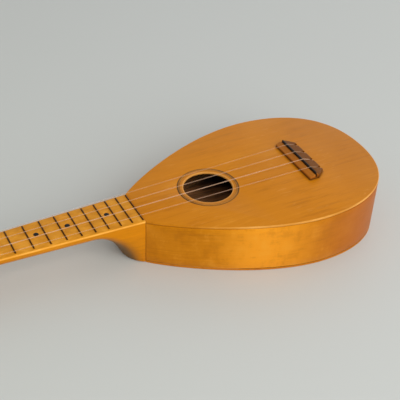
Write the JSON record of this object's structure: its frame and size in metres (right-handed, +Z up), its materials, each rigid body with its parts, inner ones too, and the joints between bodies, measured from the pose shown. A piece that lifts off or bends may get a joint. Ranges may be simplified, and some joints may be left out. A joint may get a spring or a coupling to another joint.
{
  "type": "soprano ukulele",
  "caption": "Small teardrop-bodied ukulele lying on its back, with a round soundhole, fretted neck, glued bridge and friction tuning pegs that turn.",
  "frame": {"origin": "centre of the whole instrument's box in X and Y, on the surface that the back lies on", "axes": "X across the body, +Y towards the headstock, +Z up out of the soundboard"},
  "size_m": [0.169, 0.5202, 0.0635],
  "materials": {
    "soundboard_wood": "gloss",
    "shell_wood": "gloss",
    "neck_wood": "satin",
    "bare_wood": "raw",
    "bridge_wood": "satin",
    "ring_wood": "satin",
    "peg_wood": "satin",
    "black_plastic": "satin",
    "nut_plastic": "satin",
    "fret_metal": "tarnished",
    "string_nylon": "clear"
  },
  "bodies": {
    "instrument": {"soundboard": "soundboard_wood", "rosette_ring": "ring_wood", "back": "shell_wood", "side_right": "shell_wood", "side_left": "shell_wood", "neck_block": "bare_wood", "tail_block": "bare_wood", "neck_dowel": "bare_wood", "soundboard_lining_right": "bare_wood", "soundboard_lining_left": "bare_wood", "back_lining_right": "bare_wood", "back_lining_left": "bare_wood", "soundboard_brace_upper": "bare_wood", "soundboard_brace_lower": "bare_wood", "back_brace_upper": "bare_wood", "back_brace_lower": "bare_wood", "bridge_plate": "bare_wood", "neck": "neck_wood", "fret_01": "fret_metal", "fret_02": "fret_metal", "fret_03": "fret_metal", "fret_04": "fret_metal", "fret_05": "fret_metal", "fret_06": "fret_metal", "fret_07": "fret_metal", "fret_08": "fret_metal", "fret_09": "fret_metal", "fret_10": "fret_metal", "fret_11": "fret_metal", "fret_12": "fret_metal", "marker_05": "black_plastic", "marker_07": "black_plastic", "marker_10": "black_plastic", "nut": "nut_plastic", "bridge": "bridge_wood", "saddle": "black_plastic", "string_g": "string_nylon", "string_c": "string_nylon", "string_e": "string_nylon", "string_a": "string_nylon"},
    "tuner_g": {"peg_g": "peg_wood", "winding_g": "string_nylon"},
    "tuner_c": {"peg_c": "peg_wood", "winding_c": "string_nylon"},
    "tuner_e": {"peg_e": "peg_wood", "winding_e": "string_nylon"},
    "tuner_a": {"peg_a": "peg_wood", "winding_a": "string_nylon"}
  },
  "joints": [
    {"name": "turn_peg_g", "type": "hinge", "parent": "instrument", "child": "tuner_g", "pos_m": [-0.0183, 0.18975, 0.02707], "axis": [0, 0.0421, 0.9991], "continuous": true},
    {"name": "turn_peg_c", "type": "hinge", "parent": "instrument", "child": "tuner_c", "pos_m": [-0.0155, 0.22772, 0.02547], "axis": [0, 0.0421, 0.9991], "continuous": true},
    {"name": "turn_peg_e", "type": "hinge", "parent": "instrument", "child": "tuner_e", "pos_m": [0.0155, 0.22772, 0.02547], "axis": [0, 0.0421, 0.9991], "continuous": true},
    {"name": "turn_peg_a", "type": "hinge", "parent": "instrument", "child": "tuner_a", "pos_m": [0.0183, 0.18975, 0.02707], "axis": [0, 0.0421, 0.9991], "continuous": true}
  ]
}
